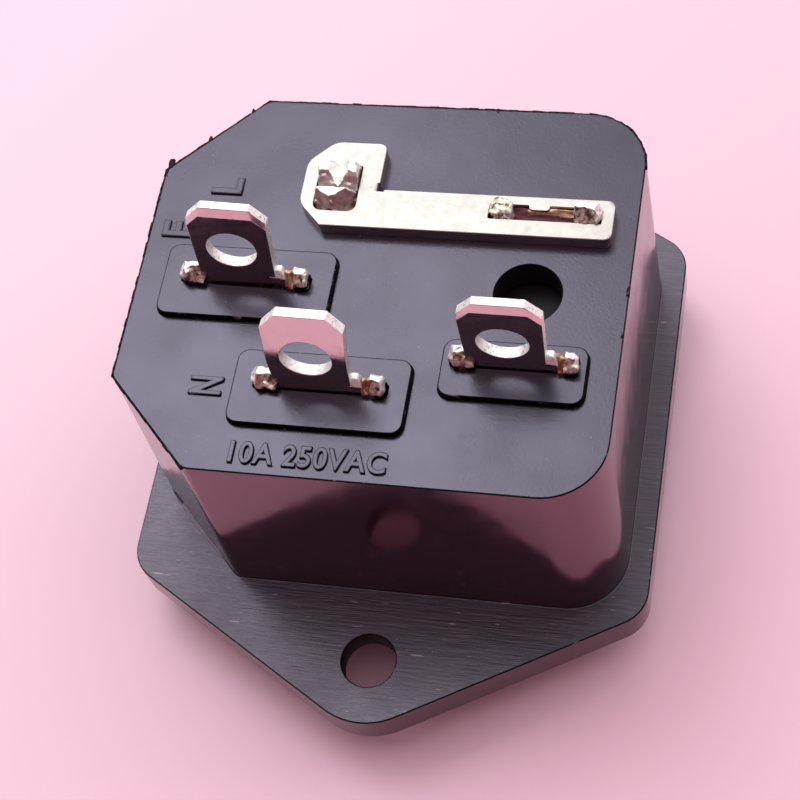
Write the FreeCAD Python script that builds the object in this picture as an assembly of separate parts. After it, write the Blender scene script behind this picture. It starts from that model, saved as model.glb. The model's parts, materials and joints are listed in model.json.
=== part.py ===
"""Fused C14 panel inlet socket with a two-eared mounting flange.

Row frame, millimetres: the front face lies on Z = 0 and the rear terminals point up, +Z.
X runs from the earth side of the socket to the fuse side, and Y joins the two mounting holes.
The origin is the middle of the front face, halfway between the mounting holes.
"""
import FreeCAD, Part

import math
import os

os.makedirs("parts", exist_ok=True)
V = FreeCAD.Vector

# ---- Driving dimensions -------------------------------------------------------------------

# Socket for the mating C13 connector
socket_width = 16.6          # across X
socket_length = 24.4         # across Y
socket_depth = 17.6
socket_chamfer = 4.6         # the two corners on the earth side
socket_corner_radius = 1.6
pin_pitch = 14.0             # line pin to neutral pin
earth_pin_offset = 4.0       # earth pin from the line-neutral row
pin_width = 4.0
pin_thickness = 2.0
pin_tip_depth = 1.8          # pin tips below the front face
pin_tip_chamfer = 0.45

# Housing walls
earth_side_wall = 2.8
fuse_side_wall = 1.5
end_wall = 2.2
divider = 2.1                # between the socket and the drawer bay
bay_width = 10.0
bay_end_room = 1.35          # past each end of the fuse
bay_corner_radius = 0.6
bay_rear_wall = 2.2
bezel_rise = 1.2             # front bezel proud of the ears
bezel_inset = 0.7
bezel_edge = 0.4
wall_draft = 0.25            # each side, over the depth of the body
body_depth = 16.8            # behind the flange
body_chamfer = 6.2
body_corner_radius = 4.2     # on the fuse side
chamfer_corner_radius = 1.0

# Mounting flange
hole_spacing = 40.0
mounting_hole = 3.8
countersink = 6.6
flange_margin = 2.0          # beyond the body on each side
flange_thickness = 3.2
flange_edge = 0.4
shoulder_setback = 5.4       # from the hole's centre back to the shoulder of the ear
ear_slope = 30.0             # degrees
ear_tip_radius = 5.0
shoulder_radius = 2.8

# Rear face
pad_height = 0.5
pad_radius = 0.8
rear_hole = 4.4              # for pushing the drawer out
notch_length = 7.0           # finger notch through the divider
notch_depth = 3.0

# Terminals: stampings whose flat shank passes through the rear wall
strip_thickness = 0.8
earth_strip_offset = 0.55    # strip from the middle of its folded pin, towards -Y
neutral_strip_offset = 1.08
shank_width = 8.8
shank_depth_in_wall = 1.8    # how far the pin's full section sinks into the wall
shank_lap = 1.0              # strip and pin side by side in the wall
tab_width = 4.8
tab_height = 7.5             # along the tab, from its pad
tab_corner_width = 0.8
tab_corner_height = 1.2
tab_hole = 3.4
tab_hole_height = 3.6        # its centre along the tab, from the pad
line_tab_hole_height = 3.0
earth_tab_lean = 6.5         # degrees, towards +Y
neutral_tab_lean = 9.0
line_tab_lean = 2.0
tab_shift = -0.3             # tab from the middle of its shank
lug_width = 1.8
lug_depth = 1.4
lug_height = 1.2
step_width = 1.0
step_height = 1.2

# Link strap
strap_thickness = 1.0
strap_arm_width = 3.05
strap_head_width = 5.3
strap_head_length = 6.75
strap_corner = 1.7
strap_end_radius = 0.5
strap_start = -6.2           # X of the head's outer edge
strap_end = 15.0             # X of the arm's end
strap_edge = 3.75            # Y of the long straight edge
prong_width = 2.9
prong_thickness = 1.3
prong_spread = 3.6           # over both prongs
prong_height = 0.9           # above the strap
line_shank_shift = (-0.3, -0.15)     # prongs from the pin's own centre, X and Y

# Fuse, 5 x 20 mm
fuse_length = 20.0
cap_diameter = 5.2
cap_length = 5.5
cap_end = 0.4
tube_diameter = 4.7
tube_bore = 3.6
element_diameter = 0.3
fuse_pitch = 6.6             # working fuse to spare fuse

# Fork contacts
fork_offset = 5.5            # from the middle of the fuse
fork_width = 9.0
fork_shank = 7.4
link_shank_shift = 0.5       # the link fork's shank from the fork's centre, along X
fork_crown = 1.3             # metal between the fuse and the rear wall
fork_reach = 2.2             # tips past the fuse's centre
fork_clearance = 0.1         # each side of the cap

# Fuse drawer
drawer_clearance = 0.15
drawer_recess = 0.4          # its front below the front face
drawer_plate = 2.2
drawer_wall = 1.1
seat_clearance = 0.1
saddle_width = 1.2
saddle_offset = 2.6
grip_depth = 1.0
grip_height = 1.1

# ---- Derived places -----------------------------------------------------------------------

bay_length = fuse_length + 2 * bay_end_room
body_width = earth_side_wall + socket_width + divider + bay_width + fuse_side_wall
body_length = socket_length + 2 * end_wall
flange_front = bezel_rise
flange_rear = flange_front + flange_thickness
rear_face = flange_rear + body_depth
pad_top = rear_face + pad_height
strap_top = rear_face + strap_thickness

socket_start = -body_width / 2 + earth_side_wall
socket_center = socket_start + socket_width / 2
power_pins_x = socket_center + earth_pin_offset / 2
earth_pin_x = socket_center - earth_pin_offset / 2
bay_start = socket_start + socket_width + divider
bay_center = bay_start + bay_width / 2
bay_depth = rear_face - bay_rear_wall
shank_start = socket_depth + shank_depth_in_wall

cap_radius = cap_diameter / 2
fuse_z = bay_depth - fork_crown - fork_clearance - cap_radius
spare_z = fuse_z - fuse_pitch

# shank centre X, shank Y of the three rear tabs
earth_tab_place = (earth_pin_x - 1.35, -earth_strip_offset)
neutral_tab_place = (power_pins_x + 1.15, -pin_pitch / 2 - neutral_strip_offset)
line_tab_place = (bay_center - 0.1, -fork_offset)
line_prong_place = (power_pins_x + line_shank_shift[0], pin_pitch / 2 + line_shank_shift[1])

# pad: centre X, centre Y, size X, size Y
earth_pad = (earth_tab_place[0] + 0.05, earth_tab_place[1] - 0.2, 11.7, 5.4)
neutral_pad = (neutral_tab_place[0] - 0.05, neutral_tab_place[1] - 0.32, 11.6, 5.35)
line_pad = (line_tab_place[0], line_tab_place[1] - 0.5, 9.3, 4.15)


# ---- Shape helpers ------------------------------------------------------------------------

def box(x0, x1, y0, y1, z0, z1):
    """Block between two corners."""
    return Part.makeBox(x1 - x0, y1 - y0, z1 - z0, V(x0, y0, z0))


def centered_box(x, y, size_x, size_y, z0, z1):
    """Block centred on X and Y, between two heights."""
    return box(x - size_x / 2, x + size_x / 2, y - size_y / 2, y + size_y / 2, z0, z1)


def rounded_wire(corners, z):
    """Closed outline through (x, y, radius) corners at height z, each corner a true arc."""
    count = len(corners)
    starts, middles, ends = [], [], []
    for i, (x, y, radius) in enumerate(corners):
        here = V(x, y, z)
        before = V(*corners[i - 1][:2], z) - here
        after = V(*corners[(i + 1) % count][:2], z) - here
        before.normalize()
        after.normalize()
        half = before.getAngle(after) / 2
        reach = radius / math.tan(half)
        bisector = (before + after).normalize()
        starts.append(here + before * reach)
        middles.append(here + bisector * (radius / math.sin(half) - radius))
        ends.append(here + after * reach)
    edges = []
    for i in range(count):
        edges.append(Part.Arc(starts[i], middles[i], ends[i]).toShape())
        edges.append(Part.LineSegment(ends[i], starts[(i + 1) % count]).toShape())
    return Part.Wire(edges)


def rounded_prism(corners, z0, z1):
    """Upright prism on a rounded outline."""
    return Part.Face(rounded_wire(corners, z0)).extrude(V(0, 0, z1 - z0))


def rectangle(x, y, size_x, size_y, radius):
    """Corners of a rounded rectangle."""
    hx, hy = size_x / 2, size_y / 2
    return [(x - hx, y - hy, radius), (x + hx, y - hy, radius),
            (x + hx, y + hy, radius), (x - hx, y + hy, radius)]


def cut_corner_outline(x0, x1, half_length, chamfer, chamfer_radius, corner_radius):
    """Corners of the inlet's outline: two chamfers at x0, two rounded corners at x1."""
    return [(x0 + chamfer, -half_length, chamfer_radius), (x1, -half_length, corner_radius),
            (x1, half_length, corner_radius), (x0 + chamfer, half_length, chamfer_radius),
            (x0, half_length - chamfer, chamfer_radius), (x0, chamfer - half_length, chamfer_radius)]


def edges_at(shape, z):
    """Edges that lie wholly in the plane at height z."""
    return [e for e in shape.Edges
            if abs(e.BoundBox.ZMin - z) < 1e-4 and abs(e.BoundBox.ZMax - z) < 1e-4]


def upright_plate(points, y, thickness):
    """Plate standing across Y, from (x, z) outline points."""
    outline = Part.makePolygon([V(px, y - thickness / 2, pz) for px, pz in points + points[:1]])
    return Part.Face(outline).extrude(V(0, thickness, 0))


def y_cylinder(x, z, diameter, y0, y1):
    """Cylinder lying along Y."""
    return Part.makeCylinder(diameter / 2, y1 - y0, V(x, y0, z), V(0, 1, 0))


def fused(first, *others):
    """One clean solid from touching pieces."""
    return first.multiFuse(list(others)).removeSplitter()


def export(shape, node):
    shape.exportStep("parts/" + node + ".step")


# ---- Housing ------------------------------------------------------------------------------

def body_outline(spread):
    """Outline of the body, spread outwards by the draft."""
    chamfer = body_chamfer + spread * (2 - math.sqrt(2))
    return cut_corner_outline(-body_width / 2 - spread, body_width / 2 + spread,
                              body_length / 2 + spread, chamfer,
                              chamfer_corner_radius, body_corner_radius)


def flange():
    """Mounting plate: straight sides, and an ear with a rounded tip at each end."""
    half_width = body_width / 2 + flange_margin
    shoulder = hole_spacing / 2 - shoulder_setback
    tip = shoulder + half_width * math.tan(math.radians(ear_slope))
    corners = [(-half_width, -shoulder, shoulder_radius), (0, -tip, ear_tip_radius),
               (half_width, -shoulder, shoulder_radius), (half_width, shoulder, shoulder_radius),
               (0, tip, ear_tip_radius), (-half_width, shoulder, shoulder_radius)]
    plate = rounded_prism(corners, flange_front, flange_rear)
    return plate.makeChamfer(flange_edge, edges_at(plate, flange_front))


def mounting_screw_holes():
    """Two countersunk holes, open from the front."""
    sink_depth = (countersink - mounting_hole) / 2
    cutters = []
    for y in (-hole_spacing / 2, hole_spacing / 2):
        cutters.append(Part.makeCylinder(mounting_hole / 2, flange_thickness + 2,
                                         V(0, y, flange_front - 1)))
        cutters.append(Part.makeCone(countersink / 2, mounting_hole / 2, sink_depth,
                                     V(0, y, flange_front)))
    return cutters


def socket_cavity():
    """Hollow for the connector, with the two corners cut on the earth side."""
    outline = cut_corner_outline(socket_start, socket_start + socket_width, socket_length / 2,
                                 socket_chamfer, 0.8, socket_corner_radius)
    return rounded_prism(outline, -1, socket_depth)


def housing():
    walls = Part.makeLoft([rounded_wire(body_outline(wall_draft), flange_rear),
                           rounded_wire(body_outline(0), rear_face)], True, True)
    bezel = rounded_prism(body_outline(-bezel_inset), 0, flange_front)
    bezel = bezel.makeChamfer(bezel_edge, edges_at(bezel, 0))
    pads = [rounded_prism(rectangle(*pad, pad_radius), rear_face, pad_top)
            for pad in (earth_pad, neutral_pad, line_pad)]
    solid = fused(flange(), walls, bezel, *pads)

    bay = rounded_prism(rectangle(bay_center, 0, bay_width, bay_length, bay_corner_radius),
                        -1, bay_depth)
    notch = box(socket_start + socket_width - 1, bay_start + 1,
                -notch_length / 2, notch_length / 2, -1, notch_depth)
    push_hole = Part.makeCylinder(rear_hole / 2, bay_rear_wall + 2, V(bay_center, 0, bay_depth - 1))
    cutters = [socket_cavity(), bay, notch, push_hole] + mounting_screw_holes()

    for pin_x, pin_y in ((earth_pin_x, 0), (power_pins_x, -pin_pitch / 2),
                         (power_pins_x, pin_pitch / 2)):
        cutters.append(centered_box(pin_x, pin_y, pin_width, pin_thickness,
                                    socket_depth - 1, shank_start))
    for x, y in (earth_tab_place, neutral_tab_place):
        cutters.append(centered_box(x, y, shank_width, strip_thickness,
                                    shank_start - shank_lap, pad_top + 1))
    cutters.append(centered_box(*line_prong_place, prong_width, prong_spread,
                                shank_start, rear_face + 1))
    for shift, y in ((0, -fork_offset), (link_shank_shift, fork_offset)):
        cutters.append(centered_box(bay_center + shift, y, fork_shank, strip_thickness,
                                    bay_depth - 1, pad_top + 1))
    return solid.cut(Part.makeCompound(cutters))


# ---- Terminals ----------------------------------------------------------------------------

def pin(x, y):
    """Flat contact pin, chamfered at its tip, up to where its shank starts."""
    blade = centered_box(x, y, pin_width, pin_thickness, pin_tip_depth, shank_start)
    return blade.makeChamfer(pin_tip_chamfer, edges_at(blade, pin_tip_depth))


def staked_lug(x, y, base, width=lug_width):
    """End of the strip spread over the pad: a block that narrows to its top."""
    bottom = Part.makePolygon([V(x + sx * width / 2, y + sy * lug_depth / 2, base)
                               for sx, sy in ((-1, -1), (1, -1), (1, 1), (-1, 1), (-1, -1))])
    top = Part.makePolygon([V(x + sx * width * 0.3, y + sy * lug_depth * 0.3, base + lug_height)
                            for sx, sy in ((-1, -1), (1, -1), (1, 1), (-1, 1), (-1, -1))])
    return Part.makeLoft([bottom, top], True, True)


def solder_tab(x, y, base, span, lean, hole_height):
    """Tab with cut corners and a hole, its small step, and the staked lugs at both ends.

    The tab leans back from the foot of its front face, and is trimmed level with its pad.
    """
    middle = x + tab_shift
    left, right = middle - tab_width / 2, middle + tab_width / 2
    top = base + tab_height
    outline = [(left, base - 1), (right, base - 1), (right, top - tab_corner_height),
               (right - tab_corner_width, top), (left + tab_corner_width, top),
               (left, top - tab_corner_height)]
    blade = upright_plate(outline, y, strip_thickness)
    blade = blade.cut(y_cylinder(middle, base + hole_height, tab_hole, y - 1, y + 1))
    blade.rotate(V(middle, y - strip_thickness / 2, base), V(1, 0, 0), -lean)
    blade = blade.cut(centered_box(middle, y, 2 * tab_width, 4 * strip_thickness, base - 3, base))
    step = centered_box(right + step_width / 2, y, step_width, strip_thickness,
                        base, base + step_height)
    lugs = [staked_lug(x + side * (span - lug_width) / 2, y, base) for side in (-1, 1)]
    return [blade, step] + lugs


def pin_terminal(pin_x, pin_y, place, lean):
    """Pin in the socket, flat shank through the wall and solder tab on the pad."""
    x, y = place
    shank = centered_box(x, y, shank_width, strip_thickness, shank_start - shank_lap, pad_top)
    tab = solder_tab(x, y, pad_top, shank_width, lean, tab_hole_height)
    return fused(pin(pin_x, pin_y), shank, *tab)


def line_pin():
    """Pin whose forked rear end passes through the wall and the head of the strap."""
    x, y = line_prong_place
    shank = centered_box(x, y, prong_width, prong_spread, shank_start, strap_top)
    prongs = [centered_box(x, y + side * (prong_spread - prong_thickness) / 2, prong_width,
                           prong_thickness, strap_top, strap_top + prong_height)
              for side in (-1, 1)]
    return fused(pin(power_pins_x, pin_pitch / 2), shank, *prongs)


def link_strap():
    """Flat strap lying on the rear face, with a wide head around the line pin."""
    arm_edge = strap_edge + strap_arm_width
    head_end = strap_start + strap_head_width
    head_top = strap_edge + strap_head_length
    points = [(strap_start + strap_corner, strap_edge), (strap_end, strap_edge),
              (strap_end, arm_edge), (head_end, arm_edge), (head_end, head_top),
              (strap_start + strap_corner, head_top), (strap_start, head_top - strap_corner),
              (strap_start, strap_edge + strap_corner)]
    outline = Part.makePolygon([V(x, y, rear_face) for x, y in points + points[:1]])
    plate = Part.Face(outline).extrude(V(0, 0, strap_thickness))
    plate = plate.makeFillet(strap_end_radius, [
        edge for edge in plate.Edges
        if all(abs(vertex.X - strap_end) < 0.01 for vertex in edge.Vertexes)
        and abs(edge.Length - strap_thickness) < 0.01])
    pin_hole = centered_box(*line_prong_place, prong_width, prong_spread,
                            rear_face - 1, strap_top + 1)
    contact_slot = centered_box(bay_center + link_shank_shift, fork_offset, fork_shank,
                                strip_thickness, rear_face - 1, strap_top + 1)
    return plate.cut(Part.makeCompound([pin_hole, contact_slot]))


def fork_contact(y, shank_top, shift=0):
    """Flat fork that grips one cap of the fuse, with its shank through the rear wall."""
    tips = fuse_z - fork_reach
    slot = cap_radius + fork_clearance
    blade = centered_box(bay_center, y, fork_width, strip_thickness, tips, bay_depth)
    mouth = centered_box(bay_center, y, 2 * slot, 2 * strip_thickness, tips - 1, fuse_z)
    blade = blade.cut(Part.makeCompound([mouth, y_cylinder(bay_center, fuse_z, 2 * slot,
                                                           y - 1, y + 1)]))
    shank = centered_box(bay_center + shift, y, fork_shank, strip_thickness, bay_depth, shank_top)
    return [blade, shank]


def fuse_contact_link():
    """Fork at the strap's end, its shank staked over the strap."""
    middle = bay_center + link_shank_shift
    lugs = [staked_lug(middle + side * (fork_shank - lug_width) / 2, fork_offset, strap_top)
            for side in (-1, 1)]
    return fused(*fork_contact(fork_offset, strap_top, link_shank_shift), *lugs)


def fuse_contact_line():
    """Fork at the other cap, with the line solder tab on its pad."""
    x, y = line_tab_place
    tab = solder_tab(x, y, pad_top, fork_shank + lug_width / 2, line_tab_lean,
                     line_tab_hole_height)
    return fused(*fork_contact(y, pad_top), *tab)


# ---- Fuse and drawer ----------------------------------------------------------------------

def fuse_tube(z):
    """Glass tube between the inner ends of the caps."""
    half = fuse_length / 2 - cap_end
    return y_cylinder(bay_center, z, tube_diameter, -half, half).cut(
        y_cylinder(bay_center, z, tube_bore, -half - 1, half + 1))


def fuse_cap(z, side):
    """Metal cup over one end of the tube."""
    outer, inner = side * fuse_length / 2, side * (fuse_length / 2 - cap_length)
    floor = side * (fuse_length / 2 - cap_end)
    cup = y_cylinder(bay_center, z, cap_diameter, min(outer, inner), max(outer, inner))
    return cup.cut(y_cylinder(bay_center, z, tube_diameter,
                              min(floor, inner - side), max(floor, inner - side)))


def fuse_element(z):
    """Wire stretched from cap to cap."""
    half = fuse_length / 2 - cap_end
    return y_cylinder(bay_center, z, element_diameter, -half, half)


def fuse_drawer():
    """Tray with a front plate and two fuse seats that open towards +X."""
    x0 = bay_start + drawer_clearance
    x1 = bay_start + bay_width - drawer_clearance
    half_length = bay_length / 2 - drawer_clearance
    z0 = drawer_recess
    z1 = bay_depth - 0.4
    seat = cap_radius + seat_clearance
    block = rounded_prism(rectangle((x0 + x1) / 2, 0, x1 - x0, 2 * half_length,
                                    bay_corner_radius), z0, z1)
    cutters = []
    for z in (fuse_z, spare_z):
        cutters.append(box(x0 + drawer_wall, x1 + 1, -fuse_length / 2 - seat_clearance,
                           fuse_length / 2 + seat_clearance, z - seat, z + seat))
    cutters.append(box(x0 + drawer_wall, x1 + 1, -fuse_length / 2, fuse_length / 2,
                       z0 + drawer_plate, spare_z - seat - drawer_wall))
    tray = block.cut(Part.makeCompound(cutters))

    saddles = []
    for z in (fuse_z, spare_z):
        for side in (-1, 1):
            rib = box(x0 + drawer_wall, bay_center, side * saddle_offset - saddle_width / 2,
                      side * saddle_offset + saddle_width / 2, z - seat, z + seat)
            saddles.append(rib.cut(y_cylinder(bay_center, z, tube_diameter + 2 * seat_clearance,
                                              -fuse_length, fuse_length)))
    tray = fused(tray, *saddles)

    gap = strip_thickness + 4 * drawer_clearance
    slot_floor = fuse_z - fork_reach - 2 * drawer_clearance
    openings = [centered_box(bay_center, side * fork_offset, bay_width + 2, gap,
                             slot_floor, z1 + 1) for side in (-1, 1)]
    openings.append(box(x0 - 1, x0 + grip_depth, -notch_length / 2 + 0.4, notch_length / 2 - 0.4,
                        z0 + grip_height, z0 + drawer_plate))
    return tray.cut(Part.makeCompound(openings))


# ---- Build --------------------------------------------------------------------------------

export(housing(), "housing")
export(pin_terminal(earth_pin_x, 0, earth_tab_place, earth_tab_lean), "earth_terminal")
export(pin_terminal(power_pins_x, -pin_pitch / 2, neutral_tab_place, neutral_tab_lean),
       "neutral_terminal")
export(line_pin(), "line_pin")
export(link_strap(), "link_strap")
export(fuse_contact_link(), "fuse_contact_link")
export(fuse_contact_line(), "fuse_contact_line")
export(fuse_drawer(), "fuse_drawer")
for name, height in (("fuse", fuse_z), ("spare_fuse", spare_z)):
    export(fuse_tube(height), name + "_tube")
    export(fuse_cap(height, -1), name + "_cap_line")
    export(fuse_cap(height, 1), name + "_cap_link")
    export(fuse_element(height), name + "_element")
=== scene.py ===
import json
import math
import random

import bmesh
import bpy
from mathutils import Matrix, Vector, noise

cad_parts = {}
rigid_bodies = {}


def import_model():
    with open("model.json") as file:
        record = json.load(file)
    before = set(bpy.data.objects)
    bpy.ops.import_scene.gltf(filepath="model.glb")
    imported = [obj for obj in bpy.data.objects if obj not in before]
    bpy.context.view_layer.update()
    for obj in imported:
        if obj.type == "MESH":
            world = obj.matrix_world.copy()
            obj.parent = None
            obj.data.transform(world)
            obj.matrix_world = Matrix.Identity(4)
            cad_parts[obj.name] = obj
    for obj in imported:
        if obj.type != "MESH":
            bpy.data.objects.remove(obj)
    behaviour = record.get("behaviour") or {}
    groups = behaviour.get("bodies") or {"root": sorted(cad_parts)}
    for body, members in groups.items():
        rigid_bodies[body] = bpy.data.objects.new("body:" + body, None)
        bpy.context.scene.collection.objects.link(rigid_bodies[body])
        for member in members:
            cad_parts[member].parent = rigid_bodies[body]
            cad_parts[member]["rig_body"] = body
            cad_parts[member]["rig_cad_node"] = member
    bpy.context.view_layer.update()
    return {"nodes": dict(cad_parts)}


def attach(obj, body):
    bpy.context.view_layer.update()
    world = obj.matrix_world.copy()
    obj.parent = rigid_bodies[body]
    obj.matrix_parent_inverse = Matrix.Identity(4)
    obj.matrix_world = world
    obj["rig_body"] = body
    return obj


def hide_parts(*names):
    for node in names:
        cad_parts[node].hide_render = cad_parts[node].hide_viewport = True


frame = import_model()

# ---- Camera ------------------------------------------------------------------------------
# A short telephoto view down on the rear face, from above the neutral end and the fuse side.
# The inlet stands on its front face, so the three solder tabs point up at the viewer.

mm = 0.001

lens = bpy.data.cameras.new("camera")
lens.sensor_width = 36
lens.lens = 84.03
lens.shift_x = 0.0083
lens.shift_y = 0.0156
lens.clip_start = 0.01
camera = bpy.data.objects.new("camera", lens)
bpy.context.scene.collection.objects.link(camera)
view_right = Vector((0.97326, 0.165896, -0.158884))
view_down = Vector((0.074422, -0.882097, -0.465151))
view_ahead = Vector((-0.217318, 0.440888, -0.870856))
camera.matrix_world = (Matrix.Translation(Vector((28.293, -61.277, 123.86)) * mm)
                       @ Matrix((view_right, -view_down, -view_ahead)).transposed().to_4x4())
bpy.context.scene.camera = camera
bpy.context.scene.view_settings.view_transform = "Standard"

# ---- Floor and light ---------------------------------------------------------------------
# Pale pink card, with painted shade: its colour darkens towards the near right, where the light
# falls off. The inlet lies on a slip of the same card, which keeps its flange just clear of the
# floor. The light comes from a wide bright window side behind the inlet, and from a softbox above
# it on the left.


def new_finish(name, color, roughness, metallic=0.0):
    """Material with a Principled shader, its nodes, and a function that joins two sockets."""
    material = bpy.data.materials.new(name)
    material.use_nodes = True
    nodes = material.node_tree.nodes
    shader = nodes["Principled BSDF"]
    shader.inputs["Base Color"].default_value = (*color, 1)
    shader.inputs["Roughness"].default_value = roughness
    shader.inputs["Metallic"].default_value = metallic
    return material, nodes, shader, material.node_tree.links.new


def noise_on(nodes, join, scale, detail=4.0, roughness=0.55, stretch=(1, 1, 1)):
    """Noise in the object's own coordinates; scale is in waves per millimetre."""
    place = nodes.new("ShaderNodeTexCoord")
    mapping = nodes.new("ShaderNodeMapping")
    mapping.inputs["Scale"].default_value = stretch
    grain = nodes.new("ShaderNodeTexNoise")
    grain.inputs["Scale"].default_value = scale / mm
    grain.inputs["Detail"].default_value = detail
    grain.inputs["Roughness"].default_value = roughness
    join(place.outputs["Object"], mapping.inputs["Vector"])
    join(mapping.outputs["Vector"], grain.inputs["Vector"])
    return grain.outputs["Fac"]


def remap(nodes, join, value, low, high, out_low, out_high):
    """Takes a value from one range to another."""
    node = nodes.new("ShaderNodeMapRange")
    for socket, number in (("From Min", low), ("From Max", high),
                           ("To Min", out_low), ("To Max", out_high)):
        node.inputs[socket].default_value = number
    join(value, node.inputs["Value"])
    return node.outputs["Result"]


def blend_colors(nodes, join, value, dark, pale):
    """Colour that runs from one tone to another with the value."""
    ramp = nodes.new("ShaderNodeValToRGB")
    ramp.color_ramp.elements[0].color = (*dark, 1)
    ramp.color_ramp.elements[1].color = (*pale, 1)
    join(value, ramp.inputs["Fac"])
    return ramp.outputs["Color"]


def bump_from(nodes, join, height, distance, shader, before=None):
    """Bump of that height in millimetres on the shader's normal, on top of an earlier one."""
    bump = nodes.new("ShaderNodeBump")
    bump.inputs["Distance"].default_value = distance * mm
    join(height, bump.inputs["Height"])
    if before is not None:
        join(before, bump.inputs["Normal"])
    join(bump.outputs["Normal"], shader.inputs["Normal"])
    return bump.outputs["Normal"]


bpy.ops.object.select_all(action="DESELECT")
bpy.ops.mesh.primitive_plane_add(size=3.0, location=(0, 0, -1.9 * mm))
bpy.ops.object.transform_apply(location=True, rotation=False, scale=False)
floor = bpy.context.object
floor.name = "floor"
card, nodes, shader, join = new_finish("pink_card", (0.93, 0.62, 0.74), 0.7)
shader.inputs["Specular IOR Level"].default_value = 0.2
# Painted shade: the card's colour darkens towards the near right, where the light falls off.
place = nodes.new("ShaderNodeTexCoord")
painted_shade_slope = nodes.new("ShaderNodeVectorMath")
painted_shade_slope.operation = "DOT_PRODUCT"
painted_shade_slope.inputs[1].default_value = (7.0, -5.0, 0)
join(place.outputs["Object"], painted_shade_slope.inputs[0])
tone = remap(nodes, join, painted_shade_slope.outputs["Value"], -0.45, 0.45, 0, 1)
pink = blend_colors(nodes, join, tone, (0.97, 0.765, 0.855), (0.92, 0.59, 0.70))
join(pink, shader.inputs["Base Color"])
floor.data.materials.append(card)
bpy.ops.object.select_all(action="DESELECT")
bpy.ops.mesh.primitive_cube_add(size=1, location=(0, 0, -0.96 * mm), scale=(0.024, 0.018, 1.88 * mm))
bpy.ops.object.transform_apply(location=True, rotation=True, scale=True)
slip = bpy.context.object
slip.name = "card_slip"
slip.data.materials.append(card)

softbox = bpy.data.lights.new("softbox", "AREA")
softbox.shape = "SQUARE"
softbox.size = 0.50
softbox.energy = 3.0
softbox.color = (0.96, 0.965, 1.0)
softbox_stand = bpy.data.objects.new("softbox", softbox)
bpy.context.scene.collection.objects.link(softbox_stand)
light_from = Vector((-0.28, 0.37, 0.88)).normalized()
softbox_stand.location = light_from * 1.2
softbox_stand.rotation_euler = light_from.to_track_quat("Z", "Y").to_euler()

room = bpy.data.worlds.new("room")
room.use_nodes = True
room_nodes = room.node_tree.nodes
room_join = room.node_tree.links.new
fill = room_nodes["Background"]
fill.inputs["Strength"].default_value = 1.55
toward = room_nodes.new("ShaderNodeTexCoord")
window_side = room_nodes.new("ShaderNodeVectorMath")
window_side.operation = "DOT_PRODUCT"
window_side.inputs[1].default_value = (-0.05, 0.80, 0.58)
room_join(toward.outputs["Generated"], window_side.inputs[0])
share = remap(room_nodes, room_join, window_side.outputs["Value"], 0.0, 0.75, 0, 1)
room_join(blend_colors(room_nodes, room_join, share, (0.16, 0.045, 0.07), (1.0, 0.94, 0.97)),
          fill.inputs["Color"])
backdrop = room_nodes.new("ShaderNodeBackground")
backdrop.inputs["Color"].default_value = (0.97, 0.74, 0.84, 1)
ray = room_nodes.new("ShaderNodeLightPath")
either = room_nodes.new("ShaderNodeMixShader")
room_join(ray.outputs["Is Camera Ray"], either.inputs["Fac"])
room_join(fill.outputs["Background"], either.inputs[1])
room_join(backdrop.outputs["Background"], either.inputs[2])
room_join(either.outputs["Shader"], room_nodes["World Output"].inputs["Surface"])
bpy.context.scene.world = room

# ---- Housing -----------------------------------------------------------------------------
# One black thermoplastic moulding: flange, deep body with two cut corners, and the pads round
# the tabs. The rear face is satin, the drawn side walls came off the mould mirror-bright, and
# the flange was rubbed flat along its width, which left fine scratches.


def only(piece):
    """Selects one piece alone and makes it the active one."""
    bpy.ops.object.select_all(action="DESELECT")
    piece.select_set(True)
    bpy.context.view_layer.objects.active = piece


def finish_with(piece, kind, **settings):
    """Adds a modifier and applies it."""
    only(piece)
    modifier = piece.modifiers.new(kind.lower(), kind)
    for key, value in settings.items():
        setattr(modifier, key, value)
    bpy.ops.object.modifier_apply(modifier=modifier.name)


def soften(piece, width, segments=2, angle=28, material=-1, clamp=True):
    """Rounds every edge sharper than the angle, and shades the rest smooth."""
    finish_with(piece, "BEVEL", width=width * mm, segments=segments, limit_method="ANGLE",
                angle_limit=math.radians(angle), miter_outer="MITER_ARC", material=material,
                use_clamp_overlap=clamp)
    only(piece)
    bpy.ops.object.shade_smooth_by_angle(angle=math.radians(angle))
    finish_with(piece, "WEIGHTED_NORMAL", keep_sharp=True, weight=100)


def merged_copy(node, name):
    """Copy of a CAD node with its corners joined and its flat faces made whole."""
    piece = frame["nodes"][node].copy()
    piece.data = piece.data.copy()
    piece.name = name
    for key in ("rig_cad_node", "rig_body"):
        if key in piece:
            del piece[key]
    piece.parent = None
    bpy.context.scene.collection.objects.link(piece)
    only(piece)
    bpy.ops.object.mode_set(mode="EDIT")
    bpy.ops.mesh.select_all(action="SELECT")
    bpy.ops.mesh.remove_doubles(threshold=0.002 * mm)
    bpy.ops.mesh.dissolve_limited(angle_limit=math.radians(0.6))
    bpy.ops.object.mode_set(mode="OBJECT")
    piece.data.materials.clear()
    return piece


def wear_specks(nodes, join, amount):
    """Sparse pale dust specks, as a mask."""
    place = nodes.new("ShaderNodeTexCoord")
    cells = nodes.new("ShaderNodeTexVoronoi")
    cells.inputs["Scale"].default_value = 2.2 / mm
    join(place.outputs["Object"], cells.inputs["Vector"])
    near = remap(nodes, join, cells.outputs["Distance"], 0.05, 0.11, 1, 0)
    patch = remap(nodes, join, noise_on(nodes, join, 0.16, 3), 0.56, 0.66, 0, amount)
    both = nodes.new("ShaderNodeMath")
    both.operation = "MULTIPLY"
    join(near, both.inputs[0])
    join(patch, both.inputs[1])
    return both.outputs["Value"]


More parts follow.
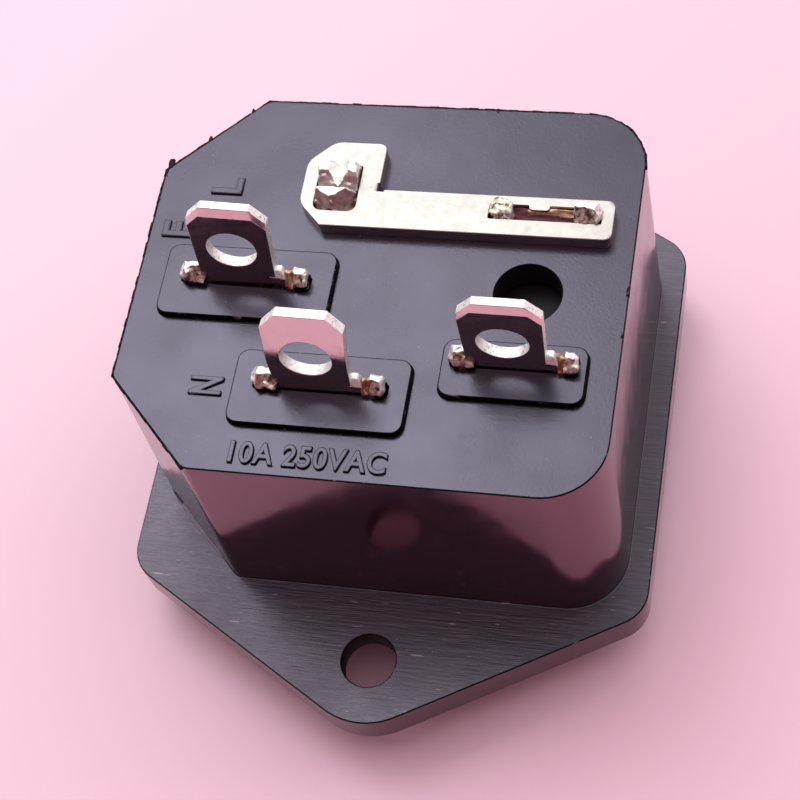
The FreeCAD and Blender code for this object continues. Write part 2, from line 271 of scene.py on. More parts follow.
def mix_in(nodes, join, factor, base, over):
    """Colour base with a fixed colour laid over it by the factor."""
    mix = nodes.new("ShaderNodeMix")
    mix.data_type = "RGBA"
    join(factor, mix.inputs["Factor"])
    join(base, mix.inputs[6])
    mix.inputs[7].default_value = (*over, 1)
    return mix.outputs[2]


def mottle(nodes, join, shader, scale, detail, dark, pale):
    """Base colour that wanders between two tones."""
    tone = blend_colors(nodes, join, noise_on(nodes, join, scale, detail), dark, pale)
    join(tone, shader.inputs["Base Color"])


def vary_gloss(nodes, join, shader, scale, detail, smooth, rough, low=0.3, high=0.7):
    """Roughness that wanders between two values."""
    spread = remap(nodes, join, noise_on(nodes, join, scale, detail), low, high, smooth, rough)
    join(spread, shader.inputs["Roughness"])


def give_finishes(piece, *finishes):
    """Puts the finishes in the piece's material slots, in that order."""
    for finish in finishes:
        piece.data.materials.append(finish)


satin_black, nodes, shader, join = new_finish("satin_black", (0.014, 0.012, 0.020), 0.32)
shader.inputs["Specular IOR Level"].default_value = 1.0
# The specular tint dims the sheen and gives it a painted violet cast.
shader.inputs["Specular Tint"].default_value = (0.66, 0.63, 0.79, 1)
tone = blend_colors(nodes, join, noise_on(nodes, join, 0.11, 3),
                    (0.010, 0.009, 0.014), (0.020, 0.017, 0.026))
dusty = mix_in(nodes, join, wear_specks(nodes, join, 0.5), tone, (0.42, 0.40, 0.42))
join(dusty, shader.inputs["Base Color"])
vary_gloss(nodes, join, shader, 0.22, 5, 0.22, 0.31)
sink = bump_from(nodes, join, noise_on(nodes, join, 0.12, 2), 0.045, shader)
bump_from(nodes, join, noise_on(nodes, join, 5, 4), 0.008, shader, sink)

# Its near-black base leans maroon, and its specular tint is pink: painted tints that stand for the pink
# card's light in the walls' reflections.
gloss_black, nodes, shader, join = new_finish("gloss_black", (0.016, 0.005, 0.010), 0.06)
shader.inputs["IOR"].default_value = 2.2
shader.inputs["Specular Tint"].default_value = (1.0, 0.43, 0.62, 1)
mottle(nodes, join, shader, 0.2, 3, (0.011, 0.004, 0.007), (0.020, 0.007, 0.012))
vary_gloss(nodes, join, shader, 0.5, 4, 0.10, 0.18, 0.35, 0.8)
bump_from(nodes, join, noise_on(nodes, join, 0.10, 2), 0.05, shader)

rubbed_black, nodes, shader, join = new_finish("rubbed_black", (0.02, 0.019, 0.024), 0.36)
shader.inputs["Specular IOR Level"].default_value = 1.0
# The specular tint gives the sheen a painted violet cast.
shader.inputs["Specular Tint"].default_value = (0.92, 0.86, 1.0, 1)
streaks = noise_on(nodes, join, 7, 6, 0.7, (0.06, 1, 1))
tone = blend_colors(nodes, join, remap(nodes, join, streaks, 0.40, 0.66, 0, 1),
                    (0.006, 0.005, 0.009), (0.046, 0.042, 0.055))
specked = mix_in(nodes, join, wear_specks(nodes, join, 0.4), tone, (0.40, 0.38, 0.42))
scratch = remap(nodes, join, noise_on(nodes, join, 3.2, 2, 0.5, (0.14, 1, 1)), 0.70, 0.73, 0, 0.55)
join(mix_in(nodes, join, scratch, specked, (0.42, 0.40, 0.44)), shader.inputs["Base Color"])
vary_gloss(nodes, join, shader, 0.18, 4, 0.28, 0.42)
rub = bump_from(nodes, join, streaks, 0.026, shader)
bump_from(nodes, join, noise_on(nodes, join, 2.4, 4, 0.6, (0.08, 1, 1)), 0.020, shader, rub)

# The flange sides keep the same painted pink tint.
flange_side = gloss_black.copy()
flange_side.name = "flange_side_black"
flange_side.node_tree.nodes["Principled BSDF"].inputs["IOR"].default_value = 1.65

matt_black, nodes, shader, join = new_finish("matt_black", (0.008, 0.007, 0.009), 0.55)
shader.inputs["Specular IOR Level"].default_value = 0.25
vary_gloss(nodes, join, shader, 0.4, 4, 0.48, 0.60)
bump_from(nodes, join, noise_on(nodes, join, 6, 3), 0.004, shader)

# Near-black without sheen: painted shade for edges and steep sides that should read dark, with pale
# nicks of real wear along them.
painted_shade_and_nicks, nodes, shader, join = new_finish("painted_shade_and_nicks", (0.008, 0.006, 0.008), 0.30)
shader.inputs["Specular IOR Level"].default_value = 0.05
nick = remap(nodes, join, noise_on(nodes, join, 0.9, 5, 0.7), 0.60, 0.72, 0, 0.6)
dark = blend_colors(nodes, join, noise_on(nodes, join, 1.0, 2),
                    (0.002, 0.0015, 0.002), (0.006, 0.004, 0.006))
join(mix_in(nodes, join, nick, dark, (0.42, 0.39, 0.42)), shader.inputs["Base Color"])
vary_gloss(nodes, join, shader, 2.0, 3, 0.24, 0.40)

# Pale mottled grey: a painted highlight for edges that catch the light, round the mounting holes and
# along the ridge by the cut corner.
painted_highlight_edge, nodes, shader, join = new_finish("painted_highlight_edge", (0.20, 0.19, 0.21), 0.35)
mottle(nodes, join, shader, 1.4, 4, (0.05, 0.045, 0.055), (0.42, 0.39, 0.43))

housing = merged_copy("housing", "moulded_housing")
rear_height = 21.2
flange_height = 4.4
hole_spacing = 40.0
slots = (satin_black, gloss_black, rubbed_black, painted_shade_and_nicks, painted_highlight_edge, flange_side, matt_black)
give_finishes(housing, *slots)
foot_spread = 0.15
for vertex in housing.data.vertices:
    x, y, z = vertex.co / mm
    at_wall_foot = abs(z - flange_height) < 0.01 and abs(x) < 16.9 and abs(y) < 14.8
    if at_wall_foot:
        vertex.co.x += math.copysign(foot_spread * mm, x)
        vertex.co.y += math.copysign(foot_spread * mm, y)
nearest_outer_wall = 13.5
for face in housing.data.polygons:
    upright = abs(face.normal.z) < 0.5
    x, y, z = face.center / mm
    outside = upright and x * face.normal.x + y * face.normal.y > nearest_outer_wall
    in_hole = z < 4.39 and math.hypot(x, abs(y) - hole_spacing / 2) < 2.0
    inside = abs(x) < 15.4 and abs(y) < 13.2 and 0.3 < z < 20.9 and not outside
    if in_hole:
        face.material_index = slots.index(matt_black)
    elif abs(z - flange_height) < 0.01 and face.normal.z > 0.9:
        face.material_index = slots.index(rubbed_black)
    elif inside:
        face.material_index = slots.index(matt_black)
    # The sides of the raised pads get painted shade.
    elif upright and z > rear_height:
        face.material_index = slots.index(painted_shade_and_nicks)
    elif upright and z < flange_height:
        face.material_index = slots.index(flange_side)
    elif outside:
        face.material_index = slots.index(gloss_black)
# Every rounded edge gets painted shade; then the wall foot goes back to the flange finish, and the rim
# of each mounting hole gets the painted highlight.
soften(housing, 0.09, 2, material=slots.index(painted_shade_and_nicks), clamp=False)
for face in housing.data.polygons:
    x, y, z = face.center / mm
    ring = math.hypot(x, abs(y) - hole_spacing / 2) < 1.9 and 4.3 < z < 4.41
    wall_foot = 4.405 < z < 4.8
    if slots[face.material_index] == painted_shade_and_nicks and ring:
        face.material_index = slots.index(painted_highlight_edge)
    elif slots[face.material_index] == painted_shade_and_nicks and wall_foot:
        face.material_index = slots.index(rubbed_black)
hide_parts("housing")
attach(housing, "inlet")

# ---- Moulding flash ----------------------------------------------------------------------
# Leftovers of the moulding: a low ridge round the foot of the cut corner, where the two halves
# of the mould met, a thin ragged line of flash along the rear edge, and a few larger burrs.


def block(name, low, high):
    """Block between two corners, in millimetres, with its place in its mesh."""
    bpy.ops.object.select_all(action="DESELECT")
    middle = [(a + b) / 2 * mm for a, b in zip(low, high)]
    bpy.ops.mesh.primitive_cube_add(size=1, location=middle,
                                    scale=[(b - a) * mm for a, b in zip(low, high)])
    bpy.ops.object.transform_apply(location=True, rotation=True, scale=True)
    piece = bpy.context.object
    piece.name = name
    return piece


def plane_cuts(piece, cuts):
    """Cuts the piece by planes, given as point and normal in millimetres, and closes it."""
    only(piece)
    bpy.ops.object.mode_set(mode="EDIT")
    for point, normal in cuts:
        bpy.ops.mesh.select_all(action="SELECT")
        bpy.ops.mesh.bisect(plane_co=Vector(point) * mm, plane_no=Vector(normal).normalized(),
                            use_fill=True, clear_outer=True)
    bpy.ops.object.mode_set(mode="OBJECT")


def joined(name, *pieces):
    """One object from several, each keeping its own finish."""
    only(pieces[0])
    for piece in pieces:
        piece.select_set(True)
    bpy.ops.object.join()
    pieces[0].name = name
    return pieces[0]


ridge = block("foot_ridge", (-16.5, -14.8, 4.30), (-10.1, -8.4, 4.54))
plane_cuts(ridge, [((-15.8, -9.6, 4.4), (-0.95, -0.31, 0)), ((-15.1, -10.6, 4.4), (-0.76, -0.65, 0)),
                   ((-13.1, -12.45, 4.4), (-0.66, -0.75, 0)), ((-12.0, -11.4, 4.4), (0.70, 0.71, 0)),
                   ((-11.0, -14.2, 4.4), (0.2, -0.98, 0)), ((-15.9, -9.0, 4.4), (-0.3, 0.95, 0))])
soften(ridge, 0.07, 2)
give_finishes(ridge, rubbed_black, painted_highlight_edge)
# The ridge's outer faces get the painted highlight.
for face in ridge.data.polygons:
    if face.normal.x + face.normal.y < -0.4:
        face.material_index = 1
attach(ridge, "inlet")

flash_black, nodes, shader, join = new_finish("flash_black", (0.010, 0.003, 0.006), 0.45)
shader.inputs["Specular IOR Level"].default_value = 0.15
mottle(nodes, join, shader, 1.2, 3, (0.006, 0.002, 0.004), (0.020, 0.006, 0.011))
bump_from(nodes, join, noise_on(nodes, join, 4, 3), 0.02, shader)

random.seed(5)
burrs = []
for x, y, length, width in (
        (-16.25, 8.75, 0.75, 0.34), (-16.42, 7.9, 0.5, 0.2), (-16.46, 5.6, 0.35, 0.16),
        (-16.46, -2.3, 0.4, 0.15), (-13.9, 10.95, 0.5, 0.16), (-11.3, 13.5, 0.3, 0.16),
        (16.4, 0.6, 0.7, 0.16), (16.4, -2.6, 0.5, 0.14), (6.0, 14.36, 0.3, 0.14)):
    burr = block("burr", (x - width / 2, y - length / 2, 20.95), (x + width / 2, y + length / 2, 21.21))
    bpy.ops.object.mode_set(mode="EDIT")
    bpy.ops.mesh.subdivide(number_cuts=3)
    bpy.ops.object.mode_set(mode="OBJECT")
    for vertex in burr.data.vertices:
        vertex.co += Vector([random.uniform(-0.05, 0.05) for i in range(3)]) * mm
    burrs.append(burr)

corner_radius = 4.2
corner_x, corner_y = 12.3, 10.2
edge_line = [(-10.3, -14.4), (-16.5, -8.2), (-16.5, 8.2), (-10.3, 14.4), (12.3, 14.4)]
for degrees in range(15, 91, 15):
    turn = math.radians(degrees)
    edge_line.append((corner_x + corner_radius * math.sin(turn),
                      corner_y + corner_radius * math.cos(turn)))
for start, end in zip(edge_line, edge_line[1:]):
    start, end = Vector((*start, 21.09)), Vector((*end, 21.09))
    along = (end - start).normalized()
    outward = Vector((-along.y, along.x, 0))
    count = round((end - start).length / 0.55)
    for i in range(count):
        spot = start.lerp(end, (i + 0.5) / count) + outward * random.uniform(-0.04, 0.02)
        heading = math.atan2(along.y, along.x) + random.uniform(-0.04, 0.04)
        bpy.ops.object.select_all(action="DESELECT")
        bpy.ops.mesh.primitive_cube_add(size=1, location=spot * mm, rotation=(0, 0, heading),
                                        scale=Vector((0.62, random.uniform(0.12, 0.24), 0.17)) * mm)
        bpy.ops.object.transform_apply(location=True, rotation=True, scale=True)
        burrs.append(bpy.context.object)
for burr in burrs:
    give_finishes(burr, flash_black)
edge_flash = joined("edge_burrs", *burrs)
bpy.ops.object.shade_smooth()
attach(edge_flash, "inlet")

# ---- Raised marks ------------------------------------------------------------------------
# The terminal letters and the electrical rating stand up from the rear face by a fraction of
# a millimetre. They are part of the moulding, so their tops share its satin finish; their steep
# sides carry painted shade, which draws a dark outline round each letter.


def raised_mark(name, words, low, high, turned):
    """Raised lettering that fills the box between two corners, in millimetres."""
    bpy.ops.object.select_all(action="DESELECT")
    bpy.ops.object.text_add()
    mark = bpy.context.object
    mark.name = name
    mark.data.body = words
    mark.data.size = 1.0
    mark.data.offset = 0.004
    mark.data.extrude = 0.05
    mark.data.bevel_depth = 0.035
    mark.data.bevel_resolution = 1
    mark.data.space_character = 1.08
    only(mark)
    bpy.ops.object.convert(target="MESH")
    if turned:
        mark.rotation_euler.z = math.radians(90)
    bpy.ops.object.transform_apply(location=True, rotation=True, scale=True)
    points = [v.co for v in mark.data.vertices]
    lowest = Vector([min(p[i] for p in points) for i in range(3)])
    highest = Vector([max(p[i] for p in points) for i in range(3)])
    wanted_low = Vector((*low, 21.14)) * mm
    wanted_high = Vector((*high, 21.38)) * mm
    for point in points:
        for i in range(3):
            share = (point[i] - lowest[i]) / (highest[i] - lowest[i])
            point[i] = wanted_low[i] + share * (wanted_high[i] - wanted_low[i])
    give_finishes(mark, satin_black, painted_shade_and_nicks)
    # Steep sides get painted shade.
    for face in mark.data.polygons:
        face.material_index = 1 if face.normal.z < 0.6 else 0
    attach(mark, "inlet")


raised_mark("line_letter", "L", (-12.85, 6.40), (-10.65, 7.75), True)
raised_mark("earth_letter", "E", (-15.60, 2.75), (-13.40, 4.05), True)
raised_mark("neutral_letter", "N", (-11.05, -9.10), (-8.80, -7.75), True)
raised_mark("rating_text", "10A 250VAC", (-7.40, -13.78), (2.90, -12.18), False)

# ---- Earth and neutral terminals ---------------------------------------------------------
# Each is one nickel-plated brass stamping: a folded flat pin in the socket, a shank through
# the rear wall and a solder tab. The shank's ends are sheared and spread over the pad, which
# locks it, and show bare metal where the plating tore.

# Nickel grey with a painted pink tint, which stands for the pink card's reflection.
nickel, nodes, shader, join = new_finish("bright_nickel", (0.68, 0.56, 0.56), 0.16, 1.0)
mottle(nodes, join, shader, 0.5, 4, (0.60, 0.47, 0.47), (0.73, 0.60, 0.60))
vary_gloss(nodes, join, shader, 1.6, 5, 0.10, 0.24, 0.3, 0.75)
wave = bump_from(nodes, join, noise_on(nodes, join, 0.45, 3), 0.006, shader)
bump_from(nodes, join, noise_on(nodes, join, 6, 5), 0.009, shader, wave)

sheared, nodes, shader, join = new_finish("sheared_edge", (0.70, 0.68, 0.64), 0.55, 1.0)
pits = remap(nodes, join, noise_on(nodes, join, 5, 5, 0.7), 0.34, 0.46, 0, 1)
metal_tone = blend_colors(nodes, join, pits, (0.36, 0.36, 0.33), (0.93, 0.95, 0.91))
join(metal_tone, shader.inputs["Base Color"])
vary_gloss(nodes, join, shader, 3.5, 5, 0.42, 0.70)
bump_from(nodes, join, noise_on(nodes, join, 4, 5), 0.05, shader)

torn_brass, nodes, shader, join = new_finish("torn_brass", (0.45, 0.32, 0.16), 0.3, 1.0)
mottle(nodes, join, shader, 1.6, 5, (0.14, 0.08, 0.05), (0.62, 0.44, 0.26))
vary_gloss(nodes, join, shader, 3, 5, 0.20, 0.42)
bump_from(nodes, join, noise_on(nodes, join, 2.6, 5), 0.04, shader)

worn_plating, nodes, shader, join = new_finish("worn_plating", (0.5, 0.47, 0.40), 0.4, 1.0)
patches = remap(nodes, join, noise_on(nodes, join, 2.8, 4, 0.6), 0.38, 0.56, 0, 1)
worn_tone = blend_colors(nodes, join, patches, (0.12, 0.105, 0.06), (0.82, 0.83, 0.66))
join(worn_tone, shader.inputs["Base Color"])
vary_gloss(nodes, join, shader, 3, 5, 0.25, 0.5)
bump_from(nodes, join, noise_on(nodes, join, 3.5, 5), 0.05, shader)


def rod(name, start, direction, radius, length, sides=40):
    """Round rod from a start point, in millimetres."""
    bpy.ops.object.select_all(action="DESELECT")
    aim = Vector(direction).normalized()
    middle = (Vector(start) + aim * length / 2) * mm
    bpy.ops.mesh.primitive_cylinder_add(vertices=sides, radius=radius * mm, depth=length * mm,
                                        location=middle,
                                        rotation=aim.to_track_quat("Z", "Y").to_euler())
    bpy.ops.object.transform_apply(location=True, rotation=True, scale=True)
    piece = bpy.context.object
    piece.name = name
    return piece


def carve(piece, *tools, way="DIFFERENCE"):
    """Takes the tools' shapes out of the piece, or adds them to it."""
    for tool in tools:
        finish_with(piece, "BOOLEAN", object=tool, operation=way, solver="EXACT")
        bpy.data.objects.remove(tool)


def lean(piece, degrees, axis, foot):
    """Turns what stands above the foot about that axis through the foot."""
    turn = Matrix.Rotation(math.radians(degrees), 4, axis)
    there = Matrix.Translation(Vector(foot) * mm)
    move = there @ turn @ there.inverted()
    for vertex in piece.data.vertices:
        if vertex.co.z > foot[2] * mm - 1e-7:
            vertex.co = move @ vertex.co


def round_edges(piece, chosen, radius, segments):
    """Rounds the edges for which chosen(a, b), given both ends in millimetres, is true."""
    only(piece)
    bpy.ops.object.mode_set(mode="EDIT")
    bpy.ops.mesh.select_mode(type="EDGE")
    bpy.ops.mesh.select_all(action="DESELECT")
    mesh = bmesh.from_edit_mesh(piece.data)
    for edge in mesh.edges:
        if chosen(edge.verts[0].co / mm, edge.verts[1].co / mm):
            edge.select_set(True)
    bpy.ops.mesh.bevel(offset=radius * mm, segments=segments, affect="EDGES")
    bpy.ops.object.mode_set(mode="OBJECT")


def crumple(piece, grain, depth, size):
    """Makes a punched or torn piece uneven: fine even faces, moved a little by noise."""
    finish_with(piece, "REMESH", mode="VOXEL", voxel_size=grain * mm)
    for vertex in piece.data.vertices:
        spot = Vector([a / (b * mm) for a, b in zip(vertex.co, size)])
        vertex.co += noise.noise_vector(spot) * depth * mm
    only(piece)
    bpy.ops.object.shade_smooth()


noise.seed_set(19)
pad_top = 21.7
half_tab = 2.53
strip = 0.8


def solder_tab(x, y, rise, back_lean, side_lean, bend, hole_height, lead_in):
    """Solder tab: cut corners, a lead-in bevelled on its face round the tip, and a hole.

    It leans back from its foot, and by the bend again across the lower half of its hole.
    """
    front, back, top = y - strip / 2, y + strip / 2, pad_top + rise
    tab = block("tab", (x - half_tab, front, pad_top - 0.5), (x + half_tab, back, top))
    corner = top - 1.15
    outline = [(0, top, 0, 1, 0.66), (half_tab, corner, 1.15, 1.0, 0.30),
               (-half_tab, corner, -1.15, 1.0, 0.34), (-half_tab + 0.07, corner, -1.0, 0.34, 0.26),
               (-half_tab + 1.0, top - 0.08, -0.44, 1.0, 0.45)]
    for off, height, across, up, reach in outline:
        along = Vector((across, 0, up)).normalized()
        cuts = [((x + off, y, height), along)]
        for face, out, depth in ((front, -1, lead_in), (back, 1, 0.05)):
            edge = Vector((x + off, face, height)) - along * reach
            cuts.append((edge, Vector((0, out * reach, 0)) + along * depth))
        plane_cuts(tab, cuts[1:] if across == 0 else cuts)
    carve(tab, rod("hole", (x, y - 2, pad_top + hole_height), (0, 1, 0), 1.63, 4, 64))
    steps = [pad_top + 2.9 + 0.3 * i for i in range(6)] if bend else []
    only(tab)
    bpy.ops.object.mode_set(mode="EDIT")
    for height in steps:
        bpy.ops.mesh.select_all(action="SELECT")
        bpy.ops.mesh.bisect(plane_co=(0, 0, height * mm), plane_no=(0, 0, 1))
    bpy.ops.object.mode_set(mode="OBJECT")
    soften(tab, 0.04, 2, 11)
    give_finishes(tab, nickel, sheared)
    for face in tab.data.polygons:
        face.material_index = 1 if abs(face.normal.y) < 0.55 else 0
    for height in reversed(steps):
        lean(tab, -bend / len(steps), "X", (x, front, height))
    lean(tab, -back_lean, "X", (x, front, pad_top))
    lean(tab, side_lean, "Y", (x, front, pad_top))
    for vertex in tab.data.vertices:
        rise_share = max(0, vertex.co.z / mm - pad_top) / rise
        vertex.co.x += (vertex.co.x - x * mm) * 0.06 * rise_share
    return tab


def staked_end(x, y, side, base, width=1.7):
    """End of the strip, spread outwards by a punch: lumpy, with a steep foot in front."""
    top = base + 1.25
    stub = block("stub", (x - width / 2, y - 0.7, base - 0.2), (x + width / 2, y + 0.6, top))
    plane_cuts(stub, [((x, y - 0.7, base + 0.55), (-0.1 * side, -0.72, 0.70)),
                      ((x + side * width * 0.24, y, top), (side * 1.0, -0.2, 0.85)),
                      ((x + side * width * 0.30, y - 0.7, base), (side * 1.0, -1.1, 0.10)),
                      ((x + side * width * 0.40, y + 0.6, base), (side * 1.0, 0.9, 0.2)),
                      ((x, y + 0.42, top), (0, 1.0, 0.5))])
    crumple(stub, 0.05, 0.13, (0.42, 0.42, 0.5))
    give_finishes(stub, sheared, worn_plating, painted_shade_and_nicks)
    # The low steep faces get painted shade.
    for face in stub.data.polygons:
        low = face.center.z / mm - base < 0.45 + 0.1 * noise.noise(face.center / (0.4 * mm))
        inner = face.normal.y < -0.25 and (face.center.x / mm - x) * side < width * 0.28
        face.material_index = 2 if low and face.normal.z < 0.6 else 1 if inner else 0
    return stub


def terminal_tab(x, y, rise, back_lean, side_lean, bend, hole_height, lead_in, left, right):
    """Solder tab with the step, torn web and staked ends beside it, from left to right."""
    tab = solder_tab(x, y, rise, back_lean, side_lean, bend, hole_height, lead_in)
    edge = x + half_tab
    front = y - strip / 2
    step = block("step", (edge - 0.3, front, pad_top - 0.2), (edge + 0.75, y + 0.4, pad_top + 1.35))
    plane_cuts(step, [((edge + 0.75, y, pad_top + 0.8), (1.0, 0, 0.5)),
                      ((x, front, pad_top + 0.95), (0, -1.0, 0.8))])
    soften(step, 0.06, 2)
    give_finishes(step, sheared, nickel)
    for face in step.data.polygons:
        face.material_index = 1 if face.normal.y < -0.9 else 0
    lean(step, -back_lean, "X", (x, front, pad_top))
    web = block("web", (edge + 0.65, y - 0.62, pad_top - 0.2), (right - 0.6, y + 0.36, pad_top + 1.0))
    plane_cuts(web, [((x, y - 0.62, pad_top + 0.35), (0, -0.66, 0.75))])
    crumple(web, 0.05, 0.16, (0.22, 0.5, 1.2))
    web.data.materials.append(torn_brass)
    return [tab, step, web, staked_end(left + 0.85, y, -1, pad_top),
            staked_end(right - 0.40, y, 1, pad_top, 0.86)]


def socket_pin(x, y, top):
    """Flat pin with a chamfered tip, from the tip's depth up into the rear wall."""
    pin = block("pin", (x - 2, y - 1, 1.8), (x + 2, y + 1, top))
    round_edges(pin, lambda a, b: a.z < 2 and b.z < 2, 0.55, 2)
    soften(pin, 0.12, 2, 35)
    pin.data.materials.append(nickel)
    return pin


def shank(x, y, width, low, high):
    """Flat part of the strip inside the wall."""
    plate = block("shank", (x - width / 2, y - strip / 2 + 0.01, low),
                  (x + width / 2, y + strip / 2 - 0.01, high))
    soften(plate, 0.04, 1)
    plate.data.materials.append(nickel)
    return plate


for node, pin_x, pin_y, shank_x, strip_y, rise, back_lean, side_lean, bend, lead_in in (
        ("earth_terminal", -7.4, 0.0, -8.75, -0.55, 7.45, 6.5, 2.9, 0.0, 0.20),
        ("neutral_terminal", -3.4, -7.0, -2.25, -8.08, 7.4, 3.5, 2.2, 11.0, 0.02)):
    parts = terminal_tab(shank_x - 0.36, strip_y, rise, back_lean, side_lean, bend, 3.6, lead_in,
                         shank_x - 4.4, shank_x + 4.3)
    parts += [socket_pin(pin_x, pin_y, 19.4), shank(shank_x, strip_y, 8.7, 18.45, 21.6)]
    terminal = joined(node + "_metal", *parts)
    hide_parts(node)
    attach(terminal, "inlet")

# ---- Fuse contacts -----------------------------------------------------------------------
# Two stamped forks grip the fuse's end caps inside the bay. The line fork carries the third
# solder tab, and the link fork's shank ends are staked over the strap on the rear face.


def fuse_fork(y, shank_top, shift=0.0):
    """Fork with a round seat and a straight mouth, on its shank."""
    fork = block("fork", (5.5, y - 0.4, 12.8), (14.5, y + 0.4, 19.0))
    mouth = block("mouth", (7.3, y - 2, 10.0), (12.7, y + 2, 15.0))
    carve(fork, mouth, rod("seat", (10.0, y - 2, 15.0), (0, 1, 0), 2.7, 4, 48))
    plane_cuts(fork, [((5.5, y, 13.6), (-1, 0, -1)), ((14.5, y, 13.6), (1, 0, -1))])
    soften(fork, 0.08, 2)
    fork.data.materials.append(nickel)
    return [fork, shank(10.0 + shift, y, 7.4, 18.9, shank_top)]


line_tab = terminal_tab(9.5, -5.5, 7.0, 2.0, 0.6, 0.0, 3.0, 0.2, 5.8, 14.0)
line_contact = joined("line_contact_metal", *line_tab, *fuse_fork(-5.5, 21.6))
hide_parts("fuse_contact_line")
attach(line_contact, "inlet")

tarnished, nodes, shader, join = new_finish("tarnished", (0.3, 0.2, 0.18), 0.40, 1.0)
mottle(nodes, join, shader, 2, 5, (0.24, 0.19, 0.16), (0.72, 0.64, 0.58))
bump_from(nodes, join, noise_on(nodes, join, 3, 5), 0.04, shader)

bpy.ops.object.select_all(action="DESELECT")
bpy.ops.mesh.primitive_uv_sphere_add(segments=32, ring_count=20, radius=1,
                                     location=Vector((7.52, 5.82, 21.9)) * mm,
                                     scale=Vector((0.90, 1.0, 0.72)) * mm)
bpy.ops.object.transform_apply(location=True, rotation=True, scale=True)
knob = bpy.context.object
plane_cuts(knob, [((8.2, 5.8, 22.0), (1, 0, 0.3)), ((7.4, 5.5, 22.42), (-0.3, -0.35, 1.0)),
                  ((7.0, 5.2, 22.2), (-0.7, -0.8, 0.5))])
crumple(knob, 0.05, 0.12, (0.5, 0.5, 0.5))
give_finishes(knob, worn_plating, sheared)
for face in knob.data.polygons:
    face.material_index = 1 if face.normal.x > 0.5 or face.normal.y > 0.45 else 0
link_ends = [knob, staked_end(13.35, 5.62, 1, 21.75, 1.8)]
torn_strip = block("torn_strip", (8.3, 5.22, 21.2), (12.6, 6.1, 22.0))
plane_cuts(torn_strip, [((10, 5.5, 21.82), (0.04, -0.50, 0.85)),
                        ((9.4, 5.5, 21.82), (-0.22, -0.48, 0.88))])
crumple(torn_strip, 0.06, 0.08, (1.0, 0.3, 0.5))
# The left end and the near side of the strip are dark maroon.
dark_maroon, nodes, shader, join = new_finish("dark_maroon", (0.08, 0.02, 0.03), 0.5, 0.4)
mottle(nodes, join, shader, 2, 4, (0.03, 0.008, 0.012), (0.16, 0.05, 0.07))
give_finishes(torn_strip, torn_brass, dark_maroon)
for face in torn_strip.data.polygons:
    wander = 0.12 * noise.noise(face.center / (0.8 * mm))
    if face.center.x < 9.3 * mm or face.center.y / mm < 5.60 + wander:
        face.material_index = 1
link_contact = joined("link_contact_metal", *link_ends, torn_strip, *fuse_fork(5.5, 21.25, 0.5))
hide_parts("fuse_contact_link")
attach(link_contact, "inlet")

# ---- Link strap --------------------------------------------------------------------------
# Flat strap of bright-plated brass that carries the line from its pin to the fuse. It is
# punched from sheet, so its upper edges are rolled over and its sides are smooth.

strap_finish, nodes, shader, join = new_finish("strap_plating", (0.60, 0.58, 0.54), 0.40, 1.0)
mottle(nodes, join, shader, 0.35, 4, (0.38, 0.37, 0.335), (0.46, 0.45, 0.41))
vary_gloss(nodes, join, shader, 2.0, 5, 0.34, 0.46, 0.3, 0.75)
grain = bump_from(nodes, join, noise_on(nodes, join, 5, 4, 0.6, (0.3, 1, 1)), 0.008, shader)
bump_from(nodes, join, noise_on(nodes, join, 0.3, 2), 0.03, shader, grain)

strap = block("link_strap_metal", (-6.2, 3.75, 21.2), (15.0, 10.5, 22.2))
pin_hole = block("pin_hole", (-5.22, 4.96, 20), (-2.28, 8.57, 24))
round_edges(pin_hole, lambda a, b: abs(a.z - b.z) > 3 and a.y < 6, 0.55, 4)
slot = block("slot", (6.75, 4.98, 20), (14.2, 6.12, 24))
tongue = block("tongue", (9.35, 5.76, 19), (10.75, 7.0, 25))
round_edges(tongue, lambda a, b: abs(a.z - b.z) > 3 and a.y < 6, 0.25, 3)
carve(slot, tongue)
carve(strap, block("waste", (-0.9, 6.8, 20), (16, 12, 24)),
      block("relief", (-1.05, 6.65, 20), (-0.55, 7.3, 24)), pin_hole, slot)
plane_cuts(strap, [((-6.2, 5.45, 21), (-1, -1, 0)), ((-6.2, 8.8, 21), (-1, 1, 0))])
round_edges(strap, lambda a, b: abs(a.z - b.z) > 0.9 and min(a.x, b.x) > 14.9, 0.55, 4)
round_edges(strap, lambda a, b: abs(a.z - b.z) > 0.9 and (a.x < -6.1 or a.y > 10.4), 0.5, 3)
soften(strap, 0.10, 3)
give_finishes(strap, strap_finish, nickel)
for face in strap.data.polygons:
    face.material_index = 1 if face.normal.z < 0.3 else 0
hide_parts("link_strap")
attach(strap, "inlet")

# ---- Line pin ----------------------------------------------------------------------------
# The line pin comes up through the strap's head. Its end was slit in two with a chisel: the
# far half keeps two bright shoulders with a punched notch between them, and the near half
# was cut down to a crescent. The cuts bared the brass.

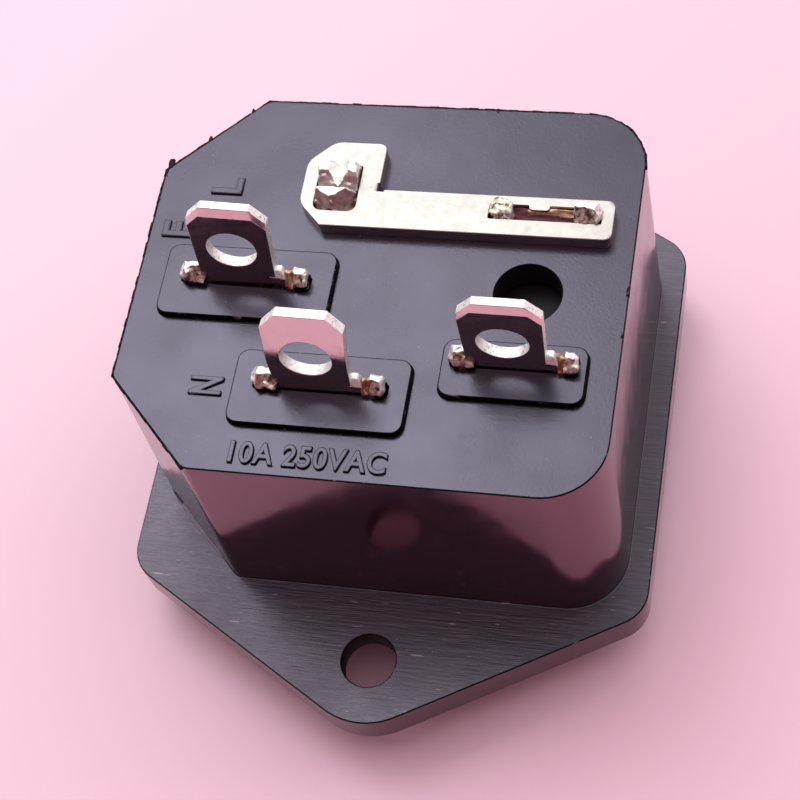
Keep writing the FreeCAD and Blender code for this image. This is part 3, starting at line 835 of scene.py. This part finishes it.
far_half = block("far_half", (-5.15, 6.50, 19.4), (-2.35, 8.5, 23.05))
plane_cuts(far_half, [((-3.7, 7.6, 23.05), (0, -0.72, 1.0)),
                      ((-5.15, 7.6, 22.7), (-1, -0.3, 0.35)), ((-2.35, 7.6, 22.75), (1, 0.2, 0.4))])
carve(far_half, rod("notch", (-3.72, 5.5, 23.3), (0, 1, 0), 0.92, 5, 4))
near_half = block("near_half", (-5.15, 5.03, 19.4), (-2.35, 6.42, 22.85))
round_edges(near_half, lambda a, b: abs(a.z - b.z) > 3 and a.y < 6, 0.55, 4)
plane_cuts(near_half, [((-3.9, 5.62, 22.85), (0.62, -0.75, 0.62)),
                       ((-4.2, 5.68, 22.85), (-0.55, -0.80, 0.75)),
                       ((-3.7, 5.08, 22.35), (0, -1, 0.8))])
for half in (far_half, near_half):
    crumple(half, 0.06, 0.07, (0.4, 0.4, 0.4))
    give_finishes(half, sheared, tarnished)
    for face in half.data.polygons:
        if face.normal.y < -0.45 or face.normal.z < 0.2:
            face.material_index = 1
line_pin = joined("line_pin_metal", far_half, near_half, socket_pin(-3.4, 7.0, 19.4))
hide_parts("line_pin")
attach(line_pin, "inlet")

# ---- Fuse drawer -------------------------------------------------------------------------
# Satin black moulding that slides in the bay: front plate with a finger grip, and two seats
# open to the side, one for the working fuse and one for the spare.

drawer = merged_copy("fuse_drawer", "moulded_drawer")
drawer.data.materials.append(matt_black)
soften(drawer, 0.10, 2)
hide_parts("fuse_drawer")
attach(drawer, "drawer")

# ---- Fuses -------------------------------------------------------------------------------
# Two 5 x 20 mm glass fuses: clear tube, nickel-plated end caps with rolled rims, and a fine
# tinned wire soldered from cap to cap.

clear_glass, nodes, shader, join = new_finish("clear_glass", (0.97, 0.99, 0.98), 0.03)
shader.inputs["Transmission Weight"].default_value = 1.0
shader.inputs["IOR"].default_value = 1.48
vary_gloss(nodes, join, shader, 0.4, 3, 0.02, 0.06, 0.4, 0.8)

tinned_wire, nodes, shader, join = new_finish("tinned_wire", (0.74, 0.73, 0.70), 0.3, 1.0)
vary_gloss(nodes, join, shader, 3, 3, 0.2, 0.4)


def fuse_cap(name, z, side):
    """End cap: a drawn cup with a rounded rim and a shallow dimple in its end."""
    outer = side * 10.0
    cap = rod(name, (10.0, outer, z), (0, -side, 0), 2.6, 5.5, 64)
    carve(cap, rod("bore", (10.0, side * 9.6, z), (0, -side, 0), 2.36, 6, 64),
          rod("dimple", (10.0, side * 10.5, z), (0, -side, 0), 0.6, 0.62, 24))
    soften(cap, 0.12, 3, 30)
    cap.data.materials.append(nickel)
    return cap


for kind, z in (("fuse", 15.0), ("spare_fuse", 8.4)):
    for end, side in (("line", -1), ("link", 1)):
        cap = fuse_cap(f"{kind}_end_cap_{end}", z, side)
        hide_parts(f"{kind}_cap_{end}")
        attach(cap, "drawer")
    for part, finish in (("tube", clear_glass), ("element", tinned_wire)):
        node = frame["nodes"][f"{kind}_{part}"]
        node.data.materials.clear()
        node.data.materials.append(finish)
